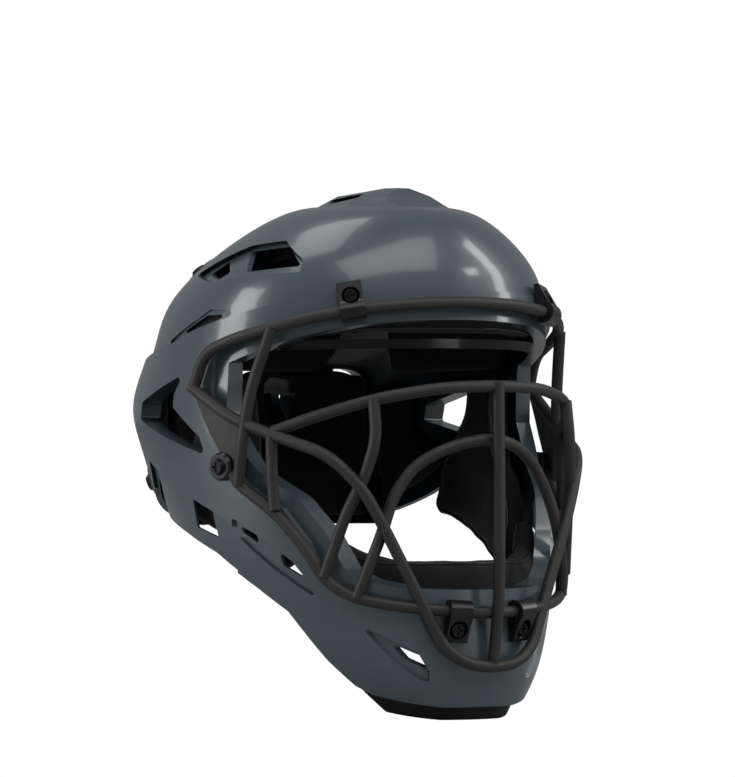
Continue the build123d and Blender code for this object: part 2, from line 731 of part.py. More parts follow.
def strap_form(layer, start, end, holes):
    """Flat strap over the shell, from one point to another as seen from behind."""
    run = end - start
    middle = (start + end) / 2
    with BuildPart() as outline:
        with BuildSketch(Plane.XZ):
            with Locations((middle.X, middle.Z)):
                SlotCenterToCenter(math.hypot(run.X, run.Z), strap_width,
                                   rotation=math.degrees(math.atan2(run.Z, run.X)))
        extrude(amount=-long)
    strap_skin = common(layer, outline.part)
    with BuildPart() as strap:
        add(strap_skin)
        for plane in holes:
            with BuildSketch(plane):
                Circle(stud_shank / 2 + clip_play)
            extrude(amount=overrun, mode=Mode.SUBTRACT)
    return strap.part


upper_layer = shell_layer(band_step - strap_top, band_step - seat_gap, drops=(-strap_top, -seat_gap))
lower_layer = shell_layer(-strap_top, -seat_gap)
for side_name, side in (("left", 1), ("right", -1)):
    crown_stud = crown_studs[side_name]
    shell_stud = shell_studs[side_name]
    plate_stud = plate_studs[side_name]
    strap_end = space_point(strap_end_shares, side)
    write(strap_form(upper_layer, crown_stud.origin, strap_end, [crown_stud]), "upper_strap_" + side_name)
    write(strap_form(lower_layer, shell_stud.origin, plate_stud.origin, [shell_stud, plate_stud]),
          "lower_strap_" + side_name)

for side_name, plane in keeper_planes.items():
    with BuildPart() as strap_keeper:
        with BuildSketch(plane.offset(-keeper_sink)):
            Rectangle(keeper_width, keeper_height)
        extrude(amount=keeper_sink + keeper_thickness)
        chamfer(strap_keeper.faces().sort_by(Axis(plane.origin, plane.z_dir))[-1].edges(), plate_spine / 2)
        with BuildSketch(plane.offset(-keeper_sink)):
            Rectangle(keeper_slot, keeper_width)
        extrude(amount=keeper_sink + strap_top + keeper_play, mode=Mode.SUBTRACT)
        add(plate_form, mode=Mode.SUBTRACT)
    write(strap_keeper.part, "strap_keeper_" + side_name)


def drive_studs(planes, foot, lift):
    """Drive studs with a wide head over the strap."""
    head_foot = foot + strap_top + lift
    with BuildPart() as studs:
        for plane in planes:
            with BuildSketch(plane.offset(head_foot)):
                Circle(stud_head / 2)
            extrude(amount=stud_head_height, taper=stud_head_taper)
            with BuildSketch(plane.offset(head_foot)):
                Circle(stud_shank / 2)
            extrude(amount=foot - stud_depth - head_foot)
    return studs.part


write(drive_studs(stud_planes, 0, stud_lift), "strap_studs")
write(drive_studs(plate_studs.values(), strap_boss_height, plate_stud_lift), "plate_studs")
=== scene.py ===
import math

import bmesh
import bpy
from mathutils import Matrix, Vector


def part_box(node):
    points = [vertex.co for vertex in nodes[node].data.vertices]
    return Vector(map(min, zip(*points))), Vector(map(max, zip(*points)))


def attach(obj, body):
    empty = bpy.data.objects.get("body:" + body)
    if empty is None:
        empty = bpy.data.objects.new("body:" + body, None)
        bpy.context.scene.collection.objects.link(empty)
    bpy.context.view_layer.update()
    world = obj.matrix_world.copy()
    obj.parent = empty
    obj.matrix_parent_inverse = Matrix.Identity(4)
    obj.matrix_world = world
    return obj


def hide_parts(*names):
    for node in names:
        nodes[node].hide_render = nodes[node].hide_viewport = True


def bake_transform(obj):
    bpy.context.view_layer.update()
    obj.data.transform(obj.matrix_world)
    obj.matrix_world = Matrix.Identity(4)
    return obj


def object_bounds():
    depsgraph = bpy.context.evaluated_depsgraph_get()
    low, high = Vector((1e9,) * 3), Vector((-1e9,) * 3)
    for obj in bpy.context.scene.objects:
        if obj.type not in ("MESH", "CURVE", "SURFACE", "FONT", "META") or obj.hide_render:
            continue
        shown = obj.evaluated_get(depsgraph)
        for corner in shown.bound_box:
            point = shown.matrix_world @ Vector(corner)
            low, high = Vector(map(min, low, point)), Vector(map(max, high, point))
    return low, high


bl_info = {
    "name": "Catcher Helmet",
    "version": (1, 0, 0),
    "blender": (4, 5, 0),
    "location": "View3D > Sidebar > Helmet",
    "description": "Hockey-style catcher helmet with a wire cage, padding and a sliding back plate",
    "category": "Object",
}

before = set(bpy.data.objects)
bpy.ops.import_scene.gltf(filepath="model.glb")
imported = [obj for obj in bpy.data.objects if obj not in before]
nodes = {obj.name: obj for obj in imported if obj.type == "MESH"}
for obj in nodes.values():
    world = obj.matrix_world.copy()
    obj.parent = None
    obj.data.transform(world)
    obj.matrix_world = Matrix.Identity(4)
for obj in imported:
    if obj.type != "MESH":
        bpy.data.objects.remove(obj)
cad_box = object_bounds()

MM = 0.001

# Groups of like pieces, by the names of their CAD nodes
SIDES = ("left", "right")
WIRES = ["brow_wire", "lower_wire", "jaw_bar", "eye_bar", "nose_arch", "centre_bar"]
WIRES += [f"{name}_{side}" for name in ("temple_strut", "cheek_strut", "outer_strut") for side in SIDES]
SIDE_PLATES = [f"side_plate_{side}" for side in SIDES]
CLIPS = [f"{name}_{side}" for name in ("brow_clip", "chin_clip", "side_clip") for side in SIDES]
KEEPERS = [f"strap_keeper_{side}" for side in SIDES]
FRONT_PADS = ["brow_pad", "chin_pad", "cheek_pad_left", "cheek_pad_right"]
INNER_PADS = ["crown_pad", "occipital_pad"]
INNER_PADS += [f"{name}_{side}" for name in ("temple_pad", "nape_pad") for side in SIDES]
BACK_PADS = [f"back_pad_{side}" for side in SIDES]

# The photograph's frame in pixels, and the pixel where the part's origin shows
PHOTO_WIDTH, PHOTO_HEIGHT = 735, 777
ORIGIN_PIXEL = (335, 449)

# Middle of the head, which the inner faces of the shell and the pads look at
HEAD_MIDDLE = (0, -25 * MM, 0)

# CAD meshes: the gap that is closed between their triangles, and the angles of creases and rounded edges
JOIN_GAP = 0.01 * MM
CREASE_ANGLE = math.radians(28)
ROUNDED_ANGLE = math.radians(40)

# Rims of the pads: their least angle, the cosine by which a broad face looks at the head, and fewest points
RIM_ANGLE = math.radians(40)
RIM_FACING = 0.55
RIM_POINTS = 8

# Corded seams: the spacing of their own points, and the rounds that even them out
SEAM_STEP = 2.5 * MM
SEAM_ROUNDS = 4

# Pad covers: the cloth's pressure and stiffness, the frames it takes to settle, and the rounds of smoothing
COVER_CLOTH = {"use_pressure": True, "uniform_pressure_force": 3.0, "tension_stiffness": 20,
               "compression_stiffness": 20, "bending_stiffness": 2}
COVER_FRAMES = 14
COVER_ROUNDS = 5

# Pad covers: the share of a pad's height that a cuff is drawn from, and the finer cells of the thin back pads
CUFF_SHARE = 0.15
BACK_PAD_CELL = 0.7

# Straps: the size of a webbing cell
WEBBING_CELL = 0.9 * MM

# Soft lights: name, place, width and height in metres, and power in watts
SOFT_LIGHTS = (
    ("main_softbox", (-0.2, -1.33, 1.6), 2.0, 1.2, 18),
    ("rear_softbox", (-1.7, 0.71, 0.5), 0.7, 1.1, 14),
    ("top_softbox", (-0.4, 0.5, 2.0), 1.4, 0.8, 9),
    ("rim_strip", (1.56, -0.73, 0.9), 0.3, 1.2, 8),
    ("brow_glint", (1.56, -1.5, 1.08), 0.4, 0.25, 3),
    ("chin_glint", (0.9, -2.0, 0.02), 0.7, 0.12, 2),
)

# Studio: the light from all round, half the floor's width in metres, and the film's width in millimetres
STUDIO_GLOW = 0.24
FLOOR_REACH = 6
FILM_WIDTH = 36


def linear(hex_colour, share=1.0):
    """Linear colour from an sRGB hex value, made darker or lighter by a share of its light."""
    channels = [int(hex_colour[i:i + 2], 16) / 255 for i in (1, 3, 5)]
    return [share * (c / 12.92 if c <= 0.04045 else ((c + 0.055) / 1.055) ** 2.4) for c in channels] + [1]


def add_node(tree, kind, settings=None, links=None):
    """A node with its settings, by attribute or by input socket, and the links into it."""
    node = tree.nodes.new(kind)
    for name, value in (settings or {}).items():
        if isinstance(name, int) or name in node.inputs:
            node.inputs[name].default_value = value
        else:
            setattr(node, name, value)
    for name, source in (links or {}).items():
        tree.links.new(source, node.inputs[name])
    return node


def new_material(name, colour, roughness, **sockets):
    """Material with one Principled shader, and the coordinates that its patterns use."""
    material = bpy.data.materials.new(name)
    material.use_nodes = True
    material.diffuse_color = linear(colour)
    tree = material.node_tree
    shader = tree.nodes["Principled BSDF"]
    shader.inputs["Base Color"].default_value = linear(colour)
    shader.inputs["Roughness"].default_value = roughness
    for socket, value in sockets.items():
        shader.inputs[socket.replace("_", " ")].default_value = value
    place = add_node(tree, "ShaderNodeTexCoord").outputs["Object"]
    return material, tree, shader, place


def lacquered_abs(name, colour, inside):
    """Grey lacquered ABS: crisp reflections over a faint orange peel, with painted shade on its inner faces.

    Faces that look at the middle of the helmet take the dark navy: painted shade and painted dark reflection
    inside the helmet and under its lips. The peel's dimples are 2.2 mm across, and the lacquer's tone and
    gloss drift over clouds of 28 mm.
    """
    material, tree, shader, place = new_material(name, colour, 0.3, Coat_Weight=0.5, Coat_Roughness=0.1)
    geometry = add_node(tree, "ShaderNodeNewGeometry")
    spoke = add_node(tree, "ShaderNodeVectorMath", {"operation": "SUBTRACT", 1: HEAD_MIDDLE}, {0: place})
    unit = add_node(tree, "ShaderNodeVectorMath", {"operation": "NORMALIZE"}, {0: spoke.outputs["Vector"]})
    outwards = add_node(tree, "ShaderNodeVectorMath", {"operation": "DOT_PRODUCT"},
                        {0: unit.outputs["Vector"], 1: geometry.outputs["Normal"]})
    # Faces that look at the middle of the helmet get the dark navy: painted shade and painted dark reflection
    lacquer = add_node(tree, "ShaderNodeMapRange", {"From Min": -0.5, "From Max": -0.2},
                       {"Value": outwards.outputs["Value"]})
    cloud = add_node(tree, "ShaderNodeTexNoise", {"Scale": 1 / (28 * MM), "Detail": 3}, {"Vector": place})
    paint = add_node(tree, "ShaderNodeMix",
                     {"data_type": "RGBA", 6: linear(colour, 0.94), 7: linear(colour, 1.05)},
                     {0: cloud.outputs["Fac"]})
    both = add_node(tree, "ShaderNodeMix", {"data_type": "RGBA", 6: linear(inside)},
                    {0: lacquer.outputs["Result"], 7: paint.outputs[2]})
    tree.links.new(both.outputs[2], shader.inputs["Base Color"])
    gloss = add_node(tree, "ShaderNodeMapRange", {"To Min": 0.26, "To Max": 0.36},
                     {"Value": cloud.outputs["Fac"]})
    tree.links.new(gloss.outputs["Result"], shader.inputs["Roughness"])
    peel = add_node(tree, "ShaderNodeTexNoise", {"Scale": 1 / (2.2 * MM), "Detail": 2}, {"Vector": place})
    bump = add_node(tree, "ShaderNodeBump", {"Strength": 0.03, "Distance": 0.2 * MM},
                    {"Height": peel.outputs["Fac"]})
    tree.links.new(bump.outputs["Normal"], shader.inputs["Normal"])
    return material


def dip_coated_steel(name, colour):
    """Steel wire in a thick plastisol dip: matte, uneven over 5 mm as the dip ran, with no bare metal."""
    material, tree, shader, place = new_material(name, colour, 0.55)
    skin = add_node(tree, "ShaderNodeTexNoise", {"Scale": 1 / (5 * MM), "Detail": 4}, {"Vector": place})
    gloss = add_node(tree, "ShaderNodeMapRange", {"To Min": 0.46, "To Max": 0.66},
                     {"Value": skin.outputs["Fac"]})
    tree.links.new(gloss.outputs["Result"], shader.inputs["Roughness"])
    bump = add_node(tree, "ShaderNodeBump", {"Strength": 0.22, "Distance": 0.35 * MM},
                    {"Height": skin.outputs["Fac"]})
    tree.links.new(bump.outputs["Normal"], shader.inputs["Normal"])
    return material


def moulded_nylon(name, colour, roughness, shine):
    """Black glass-filled nylon, moulded against polished steel: deep black with narrow highlights.

    Flow marks 3 mm across break the highlights up a little.
    """
    material, tree, shader, place = new_material(name, colour, roughness, Specular_IOR_Level=shine,
                                                 Coat_Weight=0.12, Coat_Roughness=0.08)
    flow = add_node(tree, "ShaderNodeTexNoise", {"Scale": 1 / (3 * MM), "Detail": 2}, {"Vector": place})
    bump = add_node(tree, "ShaderNodeBump", {"Strength": 0.08, "Distance": 0.2 * MM},
                    {"Height": flow.outputs["Fac"]})
    tree.links.new(bump.outputs["Normal"], shader.inputs["Normal"])
    return material


def plated_steel(name, colour, roughness):
    """Plated steel hardware: metallic, with tumbling marks 0.8 mm across that dull it in spots."""
    material, tree, shader, place = new_material(name, colour, roughness, Metallic=1.0)
    marks = add_node(tree, "ShaderNodeTexNoise", {"Scale": 1 / (0.8 * MM), "Detail": 3}, {"Vector": place})
    gloss = add_node(tree, "ShaderNodeMapRange", {"To Min": roughness - 0.08, "To Max": roughness + 0.12},
                     {"Value": marks.outputs["Fac"]})
    tree.links.new(gloss.outputs["Result"], shader.inputs["Roughness"])
    return material


def spacer_mesh(name, colour, thread):
    """Knitted spacer mesh over foam: small eyelets with painted shade inside, and a dry sheen on the threads.

    The real eyelets are about 1.2 mm apart; they are drawn 1.6 mm apart so that they show in the render.
    """
    material, tree, shader, place = new_material(name, thread, 0.85, Specular_IOR_Level=0.35,
                                                 Sheen_Weight=0.08, Sheen_Roughness=0.45)
    eyelet = add_node(tree, "ShaderNodeTexVoronoi", {"Scale": 1 / (1.6 * MM), "Randomness": 0.45},
                      {"Vector": place})
    edge = add_node(tree, "ShaderNodeMapRange", {"From Min": 0.15, "From Max": 0.5},
                    {"Value": eyelet.outputs["Distance"]})
    wear = add_node(tree, "ShaderNodeTexNoise", {"Scale": 1 / (22 * MM), "Detail": 4}, {"Vector": place})
    threads = add_node(tree, "ShaderNodeMix",
                       {"data_type": "RGBA", 6: linear(thread, 0.75), 7: linear(thread, 1.3)},
                       {0: wear.outputs["Fac"]})
    # The eyelets' centres take the darker colour: painted shade in the holes of the knit
    colours = add_node(tree, "ShaderNodeMix", {"data_type": "RGBA", 6: linear(colour)},
                       {0: edge.outputs["Result"], 7: threads.outputs[2]})
    tree.links.new(colours.outputs[2], shader.inputs["Base Color"])
    knit = add_node(tree, "ShaderNodeTexNoise", {"Scale": 1 / (0.7 * MM), "Detail": 2}, {"Vector": place})
    height = add_node(tree, "ShaderNodeMath", {"operation": "MULTIPLY_ADD", 1: 0.3},
                      {0: knit.outputs["Fac"], 2: edge.outputs["Result"]})
    bump = add_node(tree, "ShaderNodeBump", {"Strength": 0.3, "Distance": 0.3 * MM},
                    {"Height": height.outputs["Value"]})
    tree.links.new(bump.outputs["Normal"], shader.inputs["Normal"])
    return material


def woven_elastic(name, colour):
    """Woven elastic webbing: close cross ribs every 1.6 mm, which give it a soft, dry face."""
    material, tree, shader, place = new_material(name, colour, 0.8, Sheen_Weight=0.3)
    ribs = add_node(tree, "ShaderNodeTexWave",
                    {"Scale": 1 / (10 * MM), "bands_direction": "Z", "Distortion": 0.4}, {"Vector": place})
    bump = add_node(tree, "ShaderNodeBump", {"Strength": 0.5, "Distance": 0.4 * MM},
                    {"Height": ribs.outputs["Fac"]})
    tree.links.new(bump.outputs["Normal"], shader.inputs["Normal"])
    return material


def edge_rubber(name, colour):
    """Soft moulded edge trim: low gloss with a faint pebble of 1.2 mm."""
    material, tree, shader, place = new_material(name, colour, 0.5, Specular_IOR_Level=0.3)
    pebble = add_node(tree, "ShaderNodeTexVoronoi", {"Scale": 1 / (1.2 * MM)}, {"Vector": place})
    bump = add_node(tree, "ShaderNodeBump", {"Strength": 0.15, "Distance": 0.2 * MM},
                    {"Height": pebble.outputs["Distance"]})
    tree.links.new(bump.outputs["Normal"], shader.inputs["Normal"])
    return material


def soft_edge_group():
    """Geometry nodes that join a CAD mesh's triangles and shade it smooth up to a crease angle."""
    group = bpy.data.node_groups.new("joined_and_shaded", "GeometryNodeTree")
    group.interface.new_socket("Geometry", in_out="INPUT", socket_type="NodeSocketGeometry")
    group.interface.new_socket("Geometry", in_out="OUTPUT", socket_type="NodeSocketGeometry")
    source = add_node(group, "NodeGroupInput")
    joined = add_node(group, "GeometryNodeMergeByDistance", {"Distance": JOIN_GAP},
                      {"Geometry": source.outputs[0]})
    angle = add_node(group, "GeometryNodeInputMeshEdgeAngle")
    sharp = add_node(group, "FunctionNodeCompare", {"operation": "GREATER_THAN", 1: CREASE_ANGLE},
                     {0: angle.outputs[0]})
    faces = add_node(group, "GeometryNodeSetShadeSmooth", {"Shade Smooth": True},
                     {"Geometry": joined.outputs[0]})
    edges = add_node(group, "GeometryNodeSetShadeSmooth", {"domain": "EDGE", "Shade Smooth": False},
                     {"Geometry": faces.outputs[0], "Selection": sharp.outputs[0]})
    add_node(group, "NodeGroupOutput", {}, {0: edges.outputs[0]})
    return group


def finish_rigid(names, material, edge=0.0, segments=2):
    """Gives carried-over CAD nodes their material, smooth shading and, where wanted, a small edge radius."""
    group = bpy.data.node_groups.get("joined_and_shaded") or soft_edge_group()
    for name in names:
        piece = nodes[name]
        piece.data.materials.clear()
        piece.data.materials.append(material)
        piece.modifiers.new("joined and shaded", "NODES").node_group = group
        if edge:
            bevel = piece.modifiers.new("edge radius", "BEVEL")
            bevel.width = edge
            bevel.segments = segments
            bevel.limit_method = "ANGLE"
            bevel.angle_limit = ROUNDED_ANGLE
            bevel.use_clamp_overlap = True
            bevel.harden_normals = True


def new_piece(name, data):
    """New object in the scene, at the origin."""
    piece = bpy.data.objects.new(name, data)
    bpy.context.scene.collection.objects.link(piece)
    return piece


def joined_copy(node, name):
    """New piece from a CAD node's shape, its loose triangles joined."""
    mesh = nodes[node].data.copy()
    mesh.materials.clear()
    piece = new_piece(name, mesh)
    work = bmesh.new()
    work.from_mesh(mesh)
    bmesh.ops.remove_doubles(work, verts=work.verts, dist=JOIN_GAP)
    work.to_mesh(mesh)
    work.free()
    mesh.shade_smooth()
    return piece


def baked_mesh(piece):
    """The mesh that a piece has with its modifiers or its curve applied."""
    graph = bpy.context.evaluated_depsgraph_get()
    return bpy.data.meshes.new_from_object(piece.evaluated_get(graph))


def bake(piece):
    """Applies a piece's modifiers to its mesh."""
    mesh = baked_mesh(piece)
    old = piece.data
    piece.modifiers.clear()
    piece.data = mesh
    bpy.data.meshes.remove(old)


def even_out(piece, cell):
    """Remeshes a piece into cells of one size, as cloth needs."""
    remesh = piece.modifiers.new("even cells", "REMESH")
    remesh.mode = "VOXEL"
    remesh.voxel_size = cell
    bake(piece)


def smooth(piece, rounds):
    """Draws a piece's mesh in a little, which rounds its edges as a stretched cover does."""
    work = bmesh.new()
    work.from_mesh(piece.data)
    for _ in range(rounds):
        bmesh.ops.smooth_vert(work, verts=work.verts, factor=0.5, use_axis_x=True, use_axis_y=True,
                              use_axis_z=True)
    work.to_mesh(piece.data)
    work.free()


def laid_route(points, cover, step):
    """Points about a step apart along a line, laid on a cover and evened out."""
    route = [points[0]]
    for first, second in zip(points, points[1:]):
        count = math.ceil((second - first).length / step)
        for place in (first.lerp(second, share / count) for share in range(1, count + 1)):
            if (place - route[-1]).length > step / 2:
                route.append(place)
    route = [cover.closest_point_on_mesh(place)[1] for place in route]
    for _ in range(SEAM_ROUNDS):
        threes = zip(route, route[1:], route[2:])
        route = route[:1] + [(before + place * 2 + after) / 4 for before, place, after in threes] + route[-1:]
    return route


def pad_rims(form, both_rims):
    """Lines of points along the rims of a pad's inner face, or of both its broad faces."""
    work = bmesh.new()
    work.from_mesh(form.data)
    work.normal_update()
    hub = Vector(HEAD_MIDDLE)

    def is_broad_side(face):
        facing = face.normal.dot((hub - face.calc_center_median()).normalized())
        return (abs(facing) if both_rims else facing) > RIM_FACING

    # A dict keeps the edges in order, so that each run starts its seams at the same ones
    rim = dict.fromkeys(edge for edge in work.edges if edge.is_manifold and edge.calc_face_angle() > RIM_ANGLE
                        and any(is_broad_side(face) for face in edge.link_faces))
    lines = []
    while rim:
        first = next(iter(rim))
        del rim[first]
        chain = list(first.verts)
        for end in (-1, 0):
            step = next((edge for edge in chain[end].link_edges if edge in rim), None)
            while step:
                del rim[step]
                chain.insert(len(chain) if end else 0, step.other_vert(chain[end]))
                step = next((edge for edge in chain[end].link_edges if edge in rim), None)
        if len(chain) >= RIM_POINTS:
            lines.append(([vertex.co.copy() for vertex in chain], chain[0] is chain[-1]))
    work.free()
    return lines


def piping(node, name, material, cover, radius, body, both_rims):
    """Corded seam round a pad: it follows the rims of the CAD form, and lies on the cover."""
    outline = bpy.data.curves.new(name, "CURVE")
    outline.dimensions = "3D"
    outline.bevel_depth = radius
    outline.bevel_resolution = 3
    form = joined_copy(node, name + "_form")
    for points, is_closed in pad_rims(form, both_rims):
        route = laid_route(points, cover, SEAM_STEP)
        spline = outline.splines.new("POLY")
        spline.points.add(len(route) - 1)
        for point, place in zip(spline.points, route):
            point.co = (*place, 1)
        spline.use_cyclic_u = is_closed
    path = new_piece(name + "_path", outline)
    bpy.context.view_layer.update()
    mesh = baked_mesh(path)
    for spare in (form, path):
        bpy.data.objects.remove(spare)
    mesh.materials.clear()
    mesh.materials.append(material)
    mesh.shade_smooth()
    piece = new_piece(name, mesh)
    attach(piece, body)


def cushion(node, name, material, cell, swell, body, cuff=(0.0, 0.0)):
    """Foam pad in a stretched cover: remeshed from its CAD solid, drawn in a little and inflated as cloth.

    A cuff is how far the cover reaches below and above the foam, to lap the seam behind it.
    """
    piece = joined_copy(node, name)
    low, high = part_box(node)
    for vertex in piece.data.vertices:
        level = (vertex.co.z - low.z) / (high.z - low.z)
        above = max(0.0, level - (1 - CUFF_SHARE))
        below = max(0.0, CUFF_SHARE - level)
        vertex.co.z += (cuff[1] * above - cuff[0] * below) / CUFF_SHARE
    even_out(piece, cell)
    smooth(piece, COVER_ROUNDS)
    rest = [vertex.co.copy() for vertex in piece.data.vertices]
    cloth = piece.modifiers.new("stretched cover", "CLOTH")
    for setting, value in COVER_CLOTH.items():
        setattr(cloth.settings, setting, value)
    cloth.settings.effector_weights.gravity = 0
    cloth.point_cache.frame_start = 1
    cloth.point_cache.frame_end = COVER_FRAMES
    for step in range(1, COVER_FRAMES + 1):
        bpy.context.scene.frame_set(step)
    bake(piece)
    bpy.context.scene.frame_set(1)
    for vertex, start in zip(piece.data.vertices, rest):
        move = vertex.co - start
        if move.length > swell:
            vertex.co = start + move * (swell / move.length)
    subdivision = piece.modifiers.new("fine cover", "SUBSURF")
    subdivision.levels = subdivision.render_levels = 1
    bake(piece)
    piece.data.materials.append(material)
    piece.data.shade_smooth()
    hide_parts(node)
    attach(piece, body)
    return piece


def strap_piece(node, name, material):
    """Elastic strap from its CAD node's shape, remeshed into even cells of webbing."""
    piece = joined_copy(node, name)
    even_out(piece, WEBBING_CELL)
    piece.data.materials.append(material)
    piece.data.shade_smooth()
    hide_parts(node)
    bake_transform(piece)


class ShellSettings(bpy.types.PropertyGroup):
    colour: bpy.props.StringProperty(
        name="Shell colour", description="sRGB hex value of the lacquered shell", default="#475257")
    # The inside colour is painted shade: dark navy on faces that look into the helmet and under its lips
    inside: bpy.props.StringProperty(
        name="Inner shade colour", description="sRGB hex value of the painted shade inside the helmet", default="#101C24")
    edge: bpy.props.FloatProperty(
        name="Edge radius", description="Radius on the moulded edges", default=0.9 * MM, unit="LENGTH")


class CageSettings(bpy.types.PropertyGroup):
    colour: bpy.props.StringProperty(
        name="Wire colour", description="sRGB hex value of the dip coat", default="#262524")
    plate_edge: bpy.props.FloatProperty(
        name="Plate edge", description="Radius on the side plates' edges", default=0.6 * MM, unit="LENGTH")


class ClipSettings(bpy.types.PropertyGroup):
    colour: bpy.props.StringProperty(
        name="Clip colour", description="sRGB hex value of the nylon clips", default="#121315")
    screw_colour: bpy.props.StringProperty(
        name="Screw colour", description="sRGB hex value of the dark screws and studs", default="#2A2A2C")
    nut_colour: bpy.props.StringProperty(
        name="Nut colour", description="sRGB hex value of the zinc-plated nuts", default="#9DA0A3")
    edge: bpy.props.FloatProperty(
        name="Clip edge", description="Radius on the clips' edges", default=0.5 * MM, unit="LENGTH")
    screw_edge: bpy.props.FloatProperty(
        name="Screw edge", description="Radius on the edges of screws and studs", default=0.3 * MM,
        unit="LENGTH")


class PadSettings(bpy.types.PropertyGroup):
    cover: bpy.props.StringProperty(
        name="Cover colour", description="sRGB hex value of the mesh cover's threads", default="#0F1011")
    # The eyelet colour is painted shade in the holes of the knit
    inner: bpy.props.StringProperty(
        name="Eyelet shade colour", description="sRGB hex value inside the eyelets", default="#070708")
    seam: bpy.props.StringProperty(
        name="Seam colour", description="sRGB hex value of the cord in the seams", default="#0E0F10")
    cell: bpy.props.FloatProperty(
        name="Cloth cell", description="Size of one cloth cell", default=4 * MM, unit="LENGTH")
    cuff_above: bpy.props.FloatProperty(
        name="Cuff above", description="Reach of the back covers above their foam", default=7.5 * MM,
        unit="LENGTH")
    cuff_below: bpy.props.FloatProperty(
        name="Cuff below", description="Reach of the rear cover below its foam", default=9.5 * MM,
        unit="LENGTH")
    cord: bpy.props.FloatProperty(
        name="Seam cord", description="Radius of the cord in the seams", default=1.0 * MM, unit="LENGTH")
    swell: bpy.props.FloatProperty(
        name="Swell", description="Most that a cover bulges", default=3 * MM, unit="LENGTH")


class TrimSettings(bpy.types.PropertyGroup):
    rubber: bpy.props.StringProperty(
        name="Chin trim colour", description="sRGB hex value of the rubber edge trim", default="#0B0C0D")
    liner: bpy.props.StringProperty(
        name="Brow strip colour", description="sRGB hex value of the brow strip", default="#060707")
    webbing: bpy.props.StringProperty(
        name="Strap colour", description="sRGB hex value of the elastic straps", default="#151517")
    rubber_edge: bpy.props.FloatProperty(
        name="Chin trim edge", description="Radius on the chin trim's edges", default=1.2 * MM, unit="LENGTH")
    liner_edge: bpy.props.FloatProperty(
        name="Brow strip edge", description="Radius on the brow strip's edges", default=1.0 * MM,
        unit="LENGTH")


class StageSettings(bpy.types.PropertyGroup):
    paper: bpy.props.StringProperty(
        name="Floor colour", description="sRGB hex value of the light that the floor throws back",
        default="#A6A6A6")
    distance: bpy.props.FloatProperty(
        name="Camera distance", description="Distance of the camera from the helmet", default=3.0,
        unit="LENGTH")
    azimuth: bpy.props.FloatProperty(
        name="Camera azimuth", description="Angle of the camera round the helmet", default=math.radians(-35),
        subtype="ANGLE")
    pixels_per_mm: bpy.props.FloatProperty(
        name="Scale", description="Photograph pixels per millimetre", default=1.84)


class HELMET_OT_stage(bpy.types.Operator):
    """Set up the floor, the soft light and the camera"""
    bl_idname = "helmet.stage"
    bl_label = "Stage"

    def execute(self, context):
        settings = context.scene.helmet_stage
        scene = context.scene
        scene.view_settings.view_transform = "Standard"

        # White floor to the camera, pale paper to the light that it throws back
        mesh = bpy.data.meshes.new("floor")
        work = bmesh.new()
        bmesh.ops.create_grid(work, x_segments=1, y_segments=1, size=FLOOR_REACH)
        work.to_mesh(mesh)
        work.free()
        floor = new_piece("floor", mesh)
        floor.location.z = cad_box[0][2]
        paper, tree, shader, _ = new_material("pale_paper_sweep", settings.paper, 0.9)
        rays = add_node(tree, "ShaderNodeLightPath")
        glow = add_node(tree, "ShaderNodeEmission", {"Color": (1, 1, 1, 1), "Strength": 1.0})
        both = add_node(tree, "ShaderNodeMixShader", {},
                        {0: rays.outputs["Is Camera Ray"], 1: shader.outputs[0], 2: glow.outputs[0]})
        tree.links.new(both.outputs[0], tree.nodes["Material Output"].inputs["Surface"])
        mesh.materials.append(paper)

        # White background to the camera, a dim cool studio to everything else
        world = bpy.data.worlds.new("white_studio")
        scene.world = world
        world.use_nodes = True
        tree = world.node_tree
        rays = add_node(tree, "ShaderNodeLightPath")
        plain = tree.nodes["Background"]
        plain.inputs["Color"].default_value = (0.96, 0.98, 1, 1)
        plain.inputs["Strength"].default_value = STUDIO_GLOW
        white = add_node(tree, "ShaderNodeBackground", {"Color": (1, 1, 1, 1), "Strength": 1.0})
        both = add_node(tree, "ShaderNodeMixShader", {},
                        {0: rays.outputs["Is Camera Ray"], 1: plain.outputs[0], 2: white.outputs[0]})
        tree.links.new(both.outputs[0], tree.nodes["World Output"].inputs["Surface"])

        for name, place, width, height, power in SOFT_LIGHTS:
            light = bpy.data.lights.new(name, "AREA")
            light.shape = "RECTANGLE"
            light.size = width
            light.size_y = height
            light.energy = power
            lamp = new_piece(name, light)
            lamp.location = place
            lamp.rotation_euler = (-Vector(place)).to_track_quat("-Z", "Y").to_euler()

        # The lens gives the photograph's scale, and the shift puts the origin on its pixel
        camera = bpy.data.cameras.new("photo_view")
        camera.sensor_width = camera.sensor_height = FILM_WIDTH
        camera.sensor_fit = "AUTO"
        camera.lens = settings.pixels_per_mm * settings.distance / MM * FILM_WIDTH / PHOTO_HEIGHT
        camera.shift_x = (PHOTO_WIDTH / 2 - ORIGIN_PIXEL[0]) / PHOTO_HEIGHT
        camera.shift_y = (ORIGIN_PIXEL[1] - PHOTO_HEIGHT / 2) / PHOTO_HEIGHT
        camera.clip_end = 50
        holder = new_piece("photo_view", camera)
        holder.location = (settings.distance * math.sin(settings.azimuth),
                           -settings.distance * math.cos(settings.azimuth), 0)
        holder.rotation_euler = (math.radians(90), 0, settings.azimuth)
        scene.camera = holder
        return {"FINISHED"}


class HELMET_OT_shell(bpy.types.Operator):
    """Finish the front shell and the back plate"""
    bl_idname = "helmet.shell"
    bl_label = "Shell"

    def execute(self, context):
        settings = context.scene.helmet_shell
        lacquer = lacquered_abs("gloss_lacquered_abs", settings.colour, settings.inside)
        finish_rigid(["front_shell", "back_plate"], lacquer, settings.edge)
        return {"FINISHED"}


